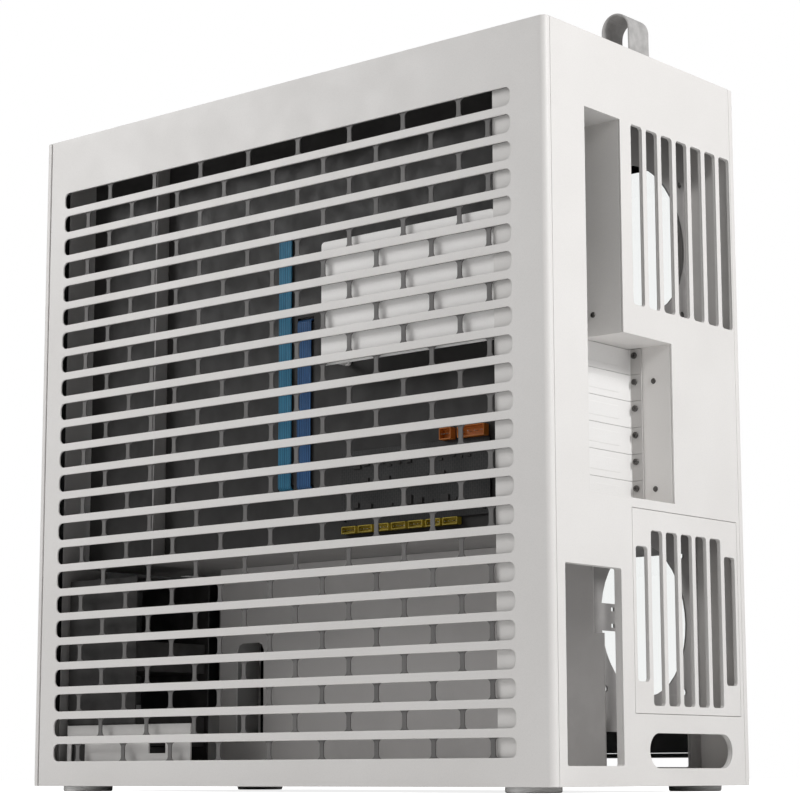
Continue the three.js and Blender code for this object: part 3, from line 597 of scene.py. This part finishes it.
def glass_side():
    low, high = span("glass_pane")
    edge = 0.4

    def around(grow, radius=6):
        return rounded(low.y - grow, high.y + grow, low.z - grow, high.z + grow, radius + grow)

    vents = [rounded(y0, y1, 16, 25.2, 4.5) for y0, y1 in ((-220, -20), (20, 220))]
    sheet = folded_side(-1, [around(edge), *vents], GLASS_BEND)
    piece("glass_side_sheet", sheet, WHITE, "glass_side", "white_steel", "glass_frame")
    pane = plate("x", low.x, high.x, around(0), edge=0.5)
    piece("glass", pane, GLASS, "glass_side", "tempered_glass", "glass_pane")
    side, end = 16, 30
    opening = rounded(low.y + side, high.y - side, low.z + end, high.z - end, 9)
    border = plate("x", high.x + 0.05, high.x + 0.25, around(-0.15), [opening], 0.05)
    piece("glass_printed_border", border, ENAMEL, "glass_side", "tempered_glass")
    seal_low, seal_high = span("glass_gasket")
    seal = plate("x", seal_low.x, seal_high.x, around(low.z - seal_low.z), [around(0.3)], 0.6)
    piece("glass_seal", seal, RUBBER, "glass_side", "rubber", "glass_gasket")


glass_side()


# ---------------------------------------------------------------- front panel

def front_panel():
    low, high = span("front_panel")
    bend_at = high.x - BEND
    cut = bend_at + BEND * QUARTER + (high.y - low.y - BEND)
    face = plate(
        "y", low.y, low.y + SHEET, rectangle(-cut, cut, low.z, high.z),
        slot_rows(-FRONT_SLOT_HALF, FRONT_SLOT_HALF),
    )
    for end in (1, -1):
        roll(face, 0, 1, bend_at, BEND, side=-1, end=end)
    inset = SHEET + 0.1
    corner = BEND - inset
    left, right, near = low.x + inset, high.x - inset, low.y + inset
    outline = arc(left + corner, near + corner, corner, 2 * QUARTER, 3 * QUARTER, 6)
    outline += arc(right - corner, near + corner, corner, 3 * QUARTER, 4 * QUARTER, 6)
    outline += [(right, high.y), (left, high.y)]
    lips = [plate("z", z + 0.02, z + SHEET - 0.02, outline) for z in (low.z, high.z - SHEET)]
    piece("slotted_front_sheet", joined(face, *lips), WHITE, "front", "white_steel", "front_panel")


front_panel()


# ---------------------------------------------------------------- lid, with its webbing pull

STRAP_THICK = 1.8


def lid():
    low, high = span("top_panel")
    strip_low, strip_high = span("socket_strip")
    strap_low, strap_high = span("pull_strap")
    slots = []
    for i in range(19):
        y = 190 - SLOT_PITCH * i
        slots.append(rounded(-FRONT_SLOT_HALF, FRONT_SLOT_HALF, y - SLOT_HEIGHT, y, SLOT_CORNER))
    gap = 0.4
    strip_hole = rounded(
        strip_low.x - gap, strip_high.x + gap, strip_low.y - gap, strip_high.y + gap, 1.2, 3,
    )
    slits = [
        rounded(strap_low.x - 0.5, strap_high.x + 0.5, y - 0.5, y + STRAP_THICK + 0.5, 1.2, 3)
        for y in (strap_low.y, strap_high.y - STRAP_THICK)
    ]
    top = plate(
        "z", low.z, high.z, rounded(low.x, high.x, low.y, high.y, 2), [*slots, strip_hole, *slits],
    )
    piece("slotted_top_sheet", top, WHITE, "lid", "white_steel", "top_panel")


def strap_section(half):
    """Across a webbing band: thick rolled selvedges and shallow warp ridges on both faces."""
    ridges, per_ridge = 14, 4
    count = ridges * per_ridge
    face = []
    for i in range(count + 1):
        u = -half + 0.35 + (2 * half - 0.7) * i / count
        ridge = 0.09 * abs(math.sin(math.pi * i / per_ridge))
        face.append((u, STRAP_THICK / 2 - 0.16 + ridge))
    side = [(half, 0.35), (half, -0.35)]
    back = [(u, -v) for u, v in reversed(face)]
    return face + side + back + [(-u, -v) for u, v in side]


def strap():
    """The loop rises from two slits, leans a little and closes under the lid."""
    low, high = span("pull_strap")
    lid_top = 551
    middle_x, middle_y = (low.x + high.x) / 2, (low.y + high.y) / 2
    reach = (high.y - low.y - STRAP_THICK) / 2
    base, crown = low.z + STRAP_THICK / 2, high.z - STRAP_THICK / 2
    centre = crown - reach
    corner = 2.5
    loop = arc(0, centre, reach, 0, 2 * QUARTER, 28)
    loop += [(-reach, centre - (centre - base - corner) * k / 14) for k in range(1, 15)]
    loop += arc(-reach + corner, base + corner, corner, 2 * QUARTER, 3 * QUARTER, 5)[1:]
    loop += [(-reach + corner + (2 * reach - 2 * corner) * k / 10, base) for k in range(1, 11)]
    loop += arc(reach - corner, base + corner, corner, -QUARTER, 0, 5)[1:]
    loop += [(reach, base + corner + (centre - base - corner) * k / 14) for k in range(1, 14)]
    path = []
    for y, z in loop:
        above = max(0.0, (z - lid_top) / (crown - lid_top))
        slack = 0.35 * math.sin(9 * above + 1.3) * above
        lean = 0.5 * above ** 1.5
        path.append((middle_x + lean, middle_y + y * (1 - 0.012 * above) + slack * 0.4, z))
    band = sweep(path, (1, 0, 0), strap_section((high.x - low.x) / 2), closed=True)
    piece("webbing_pull", band, WEBBING, "lid", "webbing", "pull_strap")


lid()
strap()


# ---------------------------------------------------------------- socket strip, sockets and buttons

def socket_strip():
    low, high = span("socket_strip")
    middle_y = (low.y + high.y) / 2
    floor_z = 539
    holes = []
    for node in ("usb_socket_1", "usb_socket_2", "usb_c_socket"):
        s_low, s_high = span(node)
        corner = 1.9 if node == "usb_c_socket" else 0.5
        holes.append(rounded(s_low.x - 0.3, s_high.x + 0.3, s_low.y - 0.3, s_high.y + 0.3, corner, 4))
    for node, play in (("power_button", 0.6), ("reset_button", 0.5)):
        b_low, b_high = span(node)
        holes.append(circle((b_low.x + b_high.x) / 2, middle_y, (b_high.x - b_low.x) / 2 + play))
    audio_x, audio_r = 51, 1.8
    holes.append(circle(audio_x, middle_y, audio_r, 24))
    deck = plate("z", floor_z, high.z, rounded(low.x, high.x, low.y, high.y, 1.2, 3), holes)
    under = plate("z", low.z, floor_z - 0.3, rounded(low.x, high.x, low.y, high.y, 1.2, 3))
    piece("socket_deck", joined(deck, under), WHITE, "chassis", "white_steel", "socket_strip")
    barrel = knob(audio_r - 0.2, floor_z + 0.2, floor_z + 1.4, 0.2, at=(audio_x, middle_y, 0), dish=0.3)
    piece("audio_socket", barrel, RUBBER, "chassis", "charcoal_plastic")


def socket(node, corner):
    """A rolled steel shell with its contact tongue inside."""
    low, high = span(node)
    wall, lip = 0.45, 0.12
    outline = rounded(low.x, high.x, low.y, high.y, corner, 5)
    inside = rounded(
        low.x + wall, high.x - wall, low.y + wall, high.y - wall, max(0.2, corner - wall), 5,
    )
    shell = plate("z", low.z, high.z, outline, [inside], lip)
    piece(node + "_shell", shell, PORT_STEEL, "chassis", "port_steel", node)
    middle = (low + high) / 2
    thin = 0.35 if corner > 1 else 0.9
    reach = (high.x - low.x) / 2 - wall - 0.6
    shift = 0 if corner > 1 else 0.9
    middle.y += shift
    edge = rounded(middle.x - reach, middle.x + reach, middle.y - thin, middle.y + thin, 0.3, 2)
    tongue = plate("z", low.z + 0.2, high.z - 0.8, edge, edge=0.15)
    piece(node + "_tongue", tongue, CHARCOAL, "chassis", "charcoal_plastic")


def button(node, edge, dish):
    low, high = span(node)
    middle = (low + high) / 2
    body = knob((high.x - low.x) / 2, low.z, high.z, edge, at=(middle.x, middle.y, 0), dish=dish, steps=48)
    piece(node + "_cap", body, WHITE, node, "white_steel", node)


socket_strip()
for name, corner in (("usb_socket_1", 0.6), ("usb_socket_2", 0.6), ("usb_c_socket", 1.5)):
    socket(name, corner)
button("power_button", 0.7, 0.5)
button("reset_button", 0.4, 0.2)


# ---------------------------------------------------------------- rear

SOCKETS_LEFT, SOCKETS_TOP, BAY_LEFT, BAY_RIGHT, BAY_LOW, BAY_HIGH = 33, 492, -30, 78, 210.6, 331.4
CARDS = [CARD_TOP - CARD_PITCH * (i + 0.5) for i in range(CARD_COUNT)]
CARD_SCREW_Y = 234.6


def stepped(grow):
    """The recess outline: the tall board-socket opening over the wider card-slot bay."""
    return [
        (BAY_LEFT - grow, BAY_LOW - grow), (BAY_RIGHT + grow, BAY_LOW - grow),
        (BAY_RIGHT + grow, SOCKETS_TOP + grow), (SOCKETS_LEFT - grow, SOCKETS_TOP + grow),
        (SOCKETS_LEFT - grow, BAY_HIGH + grow), (BAY_LEFT - grow, BAY_HIGH + grow),
    ]


def vent(first, pitch, low, high, end_low, end_high):
    slots = []
    for i in range(7):
        x, last = first - pitch * i, i in (0, 6)
        slots.append(rounded(x - 7.5, x + 7.5, end_low if last else low, end_high if last else high, 2.75))
    return slots


def rear_panel():
    """The rear skin, with a backing behind the upper vent and bent-in rims, and the lower vent plate."""
    low, high = span("rear_panel")
    grille_low, grille_high = span("lower_vent_plate")
    upper_vent = vent(11.5, 20.2, 354.4, 491.5, 354.4, 491.5)
    lower_vent = vent(15, 19.7, 61.5, 188.6, 78.5, 176)
    skin = high.y - SHEET
    gap, rim, cable_rim_depth = 0.4, 1.3, 3

    def grille_edge(grow):
        return rounded(
            grille_low.x - grow, grille_high.x + grow, grille_low.z - grow, grille_high.z + grow, 0.6, 2,
        )

    def power(grow):
        return rounded(41.2 - grow, 109.2 + grow, 18.5 - grow, 158 + grow, 1.5 + grow, 3)

    def cables(grow):
        return rounded(-101 - grow, 9 + grow, 17 - grow, 42 + grow, 12.45 + grow, 12)

    outline = rounded(low.x, high.x, low.z, high.z, 0.8, 2)
    holes = [stepped(0), *upper_vent, grille_edge(gap), power(0), cables(0)]
    sheet = plate("y", skin, high.y, outline, holes)
    behind = skin - 0.02
    backing = plate("y", grille_low.y, behind, rectangle(-118.5, 21, 349, 497), upper_vent)
    power_rim = plate("y", low.y, behind, power(rim), [power(0)])
    cable_rim = plate("y", skin - cable_rim_depth, behind, cables(rim), [cables(0)])
    skin_solid = joined(sheet, backing, power_rim, cable_rim)
    piece("rear_sheet", skin_solid, WHITE, "chassis", "white_steel", "rear_panel")
    grille = plate("y", grille_low.y, grille_high.y, grille_edge(0), lower_vent)
    piece("lower_grille", grille, WHITE, "chassis", "white_steel", "lower_vent_plate")


def liner():
    """The walls of the stepped recess."""
    low, high = span("recess_liner")
    wall = 1.2
    ring = plate("y", low.y, high.y, stepped(wall), [stepped(0)])
    piece("recess_walls", ring, INNER_WHITE, "chassis", "inner_steel", "recess_liner")


def wall_screw(name, x, y, z):
    """A small dark pan-head screw in the recess wall, its head standing just proud."""
    head = [(0, 1.1), (1.0, 1.05), (1.7, 0.8), (2.1, 0.3), (2.15, 0), (1.1, -0.1), (1.1, -1.0), (0, -1.0)]
    piece(name, turned(head[::-1], "x", (x, y, z), 24), BLACK_SCREW, "chassis", "screw_steel")


def card_cover(i, z):
    """A slot cover with a shallow pressed panel, bent at the screw end, and the tab carried on from it. The
    cover's white is raised as painted light and the tab is coated grey as painted shade.
    """
    low, high = span(f"slot_cover_{i + 1}")
    thick, bend, stub, half = 1, 1.4, 0.4, 10.02
    start = -(low.x + bend)
    cut = start + bend * QUARTER + stub
    z_low, z_high = max(z - half, BAY_LOW + 0.3), min(z + half, BAY_HIGH - 0.3)
    cover = plate("y", low.y, low.y + thick, rectangle(-cut, high.x, z_low, z_high), edge=0.2)
    roll(cover, 0, 1, start, bend, side=-1, end=-1, steps=4)
    pressed = rounded(low.x + 14, high.x - 12, z_low + 5, z_high - 5, 3.5)
    joined(cover, plate("y", low.y + thick - 0.05, low.y + thick + 0.2, pressed, edge=0.15))
    # The cover's paler white is painted light.
    piece(f"card_cover_{i + 1}", cover, COVER_WHITE_PAINTED_LIGHT, "chassis", "white_steel", f"slot_cover_{i + 1}")
    screw_hole = circle(CARD_SCREW_Y, z + CARD_SCREW_RISE, 1.8, 20)
    tab_edge = rectangle(low.y + bend + stub, high.y, z_low, z_high)
    tab = plate("x", low.x, low.x + thick, tab_edge, [screw_hole], 0.2)
    # The tab is coated darker than the cover as painted shade.
    piece(f"card_tab_{i + 1}", tab, TAB_PAINTED_SHADE, "chassis", "white_steel")


def cross(u, v, reach, arm):
    """A plus-shaped outline."""
    r, a = reach, arm
    quarter = [(a, a), (a, r), (-a, r)]
    turns = ((1, 0), (0, 1), (-1, 0), (0, -1))
    return [(u + x * c - y * s, v + x * s + y * c) for c, s in turns for x, y in quarter]


def card_screw(i, z):
    """A pan-head screw with a cross recess, its head inside the recess wall."""
    low, high = span(f"slot_screw_{i + 1}")
    centre = (CARD_SCREW_Y, z + CARD_SCREW_RISE)
    neck = high.x - 1.4
    head = plate("x", neck + 0.4, high.x, circle(*centre, 2.4, 24), [cross(*centre, 1.3, 0.32)], 0.25)
    seat = plate("x", neck, neck + 0.42, circle(*centre, 2.4, 24), (), 0.1)
    shank = [(0, 0)]
    length, radius, pitch = neck - low.x, 1.4, 0.6
    turns = int(length / pitch)
    for k in range(turns):
        shank += [(radius - 0.25, k * pitch), (radius, (k + 0.5) * pitch)]
    shank += [(radius - 0.25, turns * pitch), (radius - 0.25, length + 0.1), (0, length + 0.1)]
    screw = joined(head, seat, turned(shank, "x", (low.x, *centre), 20))
    piece(f"card_screw_{i + 1}", screw, BLACK_SCREW, "chassis", "screw_steel", f"slot_screw_{i + 1}")


rear_panel()
liner()
wall_screw("wall_screw_1", BAY_LEFT + 0.1, 250.5, 305.1)
wall_screw("wall_screw_2", BAY_LEFT + 0.1, 250.5, 223.2)
wall_screw("wall_screw_3", SOCKETS_LEFT + 0.1, 240.5, 347.6)
for i, z in enumerate(CARDS):
    card_cover(i, z)
    card_screw(i, z)


# ---------------------------------------------------------------- drive plate

def drive_plate():
    """A flat plate on four grooved pegs, its white raised paler than the case's as painted light."""
    low, high = span("drive_plate")
    thick = 1.2
    face = high.x - thick
    sheet = plate("x", face, high.x, rounded(low.y, high.y, low.z, high.z, 3), edge=0.25)
    reach = face - low.x + 0.2
    profile = [
        (0, 0), (2.2, 0), (3, 1), (3, 3), (2.1, 3.6), (2.1, 5.6), (3, 6.2), (3, reach), (0, reach),
    ]
    pegs = [
        turned(profile, "x", (low.x, y, z), 24)
        for y in (low.y + 5, high.y - 5) for z in (low.z + 6, high.z - 6)
    ]
    piece("drive_tray_sheet", joined(sheet, *pegs), PLATE_WHITE_PAINTED_LIGHT, "drive_plate", "white_steel", "drive_plate")


drive_plate()


# ---------------------------------------------------------------- leads, hub and its sockets

def ribbon_section(width, wires):
    """A flat cable's section: a row of touching round wires."""
    pitch = width / wires
    top = []
    for k in range(wires):
        for step in range(4):
            angle = math.pi * step / 4
            u = -width / 2 + pitch * (k + 0.5 - 0.5 * math.cos(angle))
            top.append((u, 0.25 + 0.33 * math.sin(angle)))
    top.append((width / 2, 0.25))
    return top + [(u, -v) for u, v in reversed(top)]


def lead(node, finish, slot, wires, wave):
    """A flat lead out of one slit in the cover, up its face and back through another."""
    low, high = span(node)
    width, middle_y = high.y - low.y, (low.y + high.y) / 2
    x_out, x_in, bend = high.x - 0.62, low.x, 3
    z_low, z_high = low.z + 0.6, high.z - 0.6
    flat = [(x_in + (x_out - bend - x_in) * k / 3, z_low) for k in range(4)]
    flat += arc(x_out - bend, z_low + bend, bend, -QUARTER, 0, 7)[1:]
    run = z_high - z_low - 2 * bend
    flat += [(x_out, z_low + bend + run * k / 40) for k in range(1, 40)]
    flat += arc(x_out - bend, z_high - bend, bend, 0, QUARTER, 7)
    flat += [(x_out - bend - (x_out - bend - x_in) * k / 3, z_high) for k in range(1, 4)]
    path = []
    for x, z in flat:
        along = (z - z_low) / (z_high - z_low)
        path.append((x, middle_y + wave * math.sin(math.pi * along) ** 2 * math.sin(5 * along), z))
    band = sweep(path, (0, 1, 0), ribbon_section(width - 2 * abs(wave), wires))
    piece(node + "_ribbon", band, finish, "chassis", slot, node)


lead("front_lead_cyan", CYAN, "lead_cyan", 9, 0.25)
lead("front_lead_blue", BLUE, "lead_blue", 9, -0.3)


def hub():
    low, high = span("fan_hub")
    face = low.x + 1.6
    posts = [(y, z) for y in (low.y + 5, high.y - 5) for z in (low.z + 5, high.z - 5)]
    screw_holes = [circle(y, z, 1.7, 20) for y, z in posts]
    board = plate("x", low.x, face, rounded(low.y, high.y, low.z, high.z, 2.5), screw_holes, 0.1)
    piece("hub_board", board, BOARD, "chassis", "circuit_board", "fan_hub")
    random.seed(11)
    sizes = ((7, 7, 1.1), (3.2, 1.8, 0.7), (2, 1.2, 0.6), (5, 4, 1.2), (3.2, 1.6, 0.8))
    chips = None
    for row in range(3):
        y = low.y + 14
        while y < high.y - 14:
            w, h, t = random.choice(sizes)
            z = low.z + 12 + row * 16 + random.uniform(-2, 2)
            chip = plate("x", face + 0.02, face + t, rounded(y, y + w, z, z + h, 0.2, 2), (), 0.12)
            chips = joined(chips, chip) if chips else chip
            y += w + random.uniform(3, 9)
    piece("hub_chips", chips, CHARCOAL, "chassis", "circuit_board")


def header_row(name, finish, slot, node, blocks):
    """Shrouded sockets in a row: open boxes with a floor, each around its pins."""
    low, high = span(node)
    base, middle = low.x + 1.2, (low.z + high.z) / 2
    wall, half = 0.8, 0.3
    shrouds = None
    pins = None
    for y0, y1 in blocks:
        ring = plate(
            "x", base - 0.05, high.x, rounded(y0, y1, low.z, high.z, 0.4, 2),
            [rounded(y0 + wall, y1 - wall, low.z + wall, high.z - wall, 0.2, 2)], 0.15,
        )
        floor = plate("x", low.x, base, rounded(y0, y1, low.z, high.z, 0.4, 2), (), 0.15)
        shrouds = joined(shrouds, ring, floor) if shrouds else joined(ring, floor)
        for k in range(4):
            y = y0 + (y1 - y0) * (k + 0.5) / 4
            post = rounded(y - half, y + half, middle - half, middle + half, 0.08, 2)
            pin = plate("x", base, high.x - 0.9, post, (), 0.07)
            pins = joined(pins, pin) if pins else pin
    piece(name, shrouds, finish, "chassis", slot, node)
    piece(name + "_pins", pins, PORT_STEEL, "chassis", "port_steel")


hub()
yellow_low, yellow_high = span("hub_sockets_yellow")
YELLOW_COUNT, YELLOW_GAP = 7, 2.5
pitch = (yellow_high.y - yellow_low.y + YELLOW_GAP) / YELLOW_COUNT
starts = [yellow_low.y + pitch * k for k in range(YELLOW_COUNT)]
header_row(
    "hub_header_yellow", YELLOW, "socket_yellow", "hub_sockets_yellow",
    [(y, y + pitch - YELLOW_GAP) for y in starts],
)
header_row("hub_header_orange", ORANGE, "socket_orange", "hub_sockets_orange", [(146, 157), (163, 188)])


# ---------------------------------------------------------------- feet, grommets and filters

def foot(node):
    low, high = span(node)
    middle = (low + high) / 2
    radius = (high.x - low.x) / 2
    profile = [(0, 0.9), (radius - 7, 0.9), (radius - 6, 0), (radius - 1.6, 0)]
    profile += [(radius - 1.6 + x, 1.6 + h) for x, h in arc(0, 0, 1.6, -QUARTER, 0, 4)][1:]
    profile += [(radius, high.z - low.z - 0.8), (radius - 0.8, high.z - low.z), (0, high.z - low.z)]
    pad = turned(profile, "z", (middle.x, middle.y, low.z), 56)
    # The pads' paleness is partly their own grey and partly painted light from the floor.
    piece(node + "_pad", pad, FOOT_RUBBER_PAINTED_LIGHT, "chassis", "foot_rubber", node)


for name in ("foot_rear_right", "foot_rear_left", "foot_front_right", "foot_front_left"):
    foot(name)


def grommet(i):
    """A rubber ring with four slit leaves closing the window."""
    low, high = span(f"grommet_{i + 1}")
    y, z, depth = (low.y + high.y) / 2, (low.z + high.z) / 2, high.x - low.x
    ring = plate(
        "x", low.x, high.x, rounded(low.y, high.y, low.z, high.z, 12.8, 10),
        [rounded(low.y + 5.6, high.y - 5.6, low.z + 5.6, high.z - 5.6, 7.2, 10)], depth * 0.45,
    )
    leaves = []
    inset, slit = 5.9, 0.35
    for y0, y1 in ((low.y + inset, y - slit), (y + slit, high.y - inset)):
        for z0, z1 in ((low.z + inset, z - slit), (z + slit, high.z - inset)):
            leaves.append(plate("x", low.x + 0.4, high.x - 0.4, rounded(y0, y1, z0, z1, 3, 4), (), 0.15))
    piece(f"cable_grommet_{i + 1}", joined(ring, *leaves), RUBBER, "chassis", "rubber", f"grommet_{i + 1}")


for i in range(3):
    grommet(i)


# ---------------------------------------------------------------- CAD nodes that keep their shape

for name in ("rear_side_wall_right", "rear_side_wall_left", "top_frame"):
    soften(name, INNER_WHITE)
# The partition's grey is painted shade.
soften("psu_partition", CHAMBER_PAINTED_SHADE)
# These inner parts are coated dark grey as painted shade.
for name in ("inner_rear_plate", "motherboard_tray", "chamber_shelf", "front_frame"):
    soften(name, INNER_PAINTED_SHADE)
soften("base_pan", WHITE)
for name in ("cable_cover", "front_cable_cover", "drive_cage", "drive_tray_1", "drive_tray_2"):
    soften(name, CHARCOAL)
soften("psu_support", RUBBER, 0.8)
for name in ("floor_filter", "top_filter", "front_filter"):
    soften(name, FILTER, 0.15)
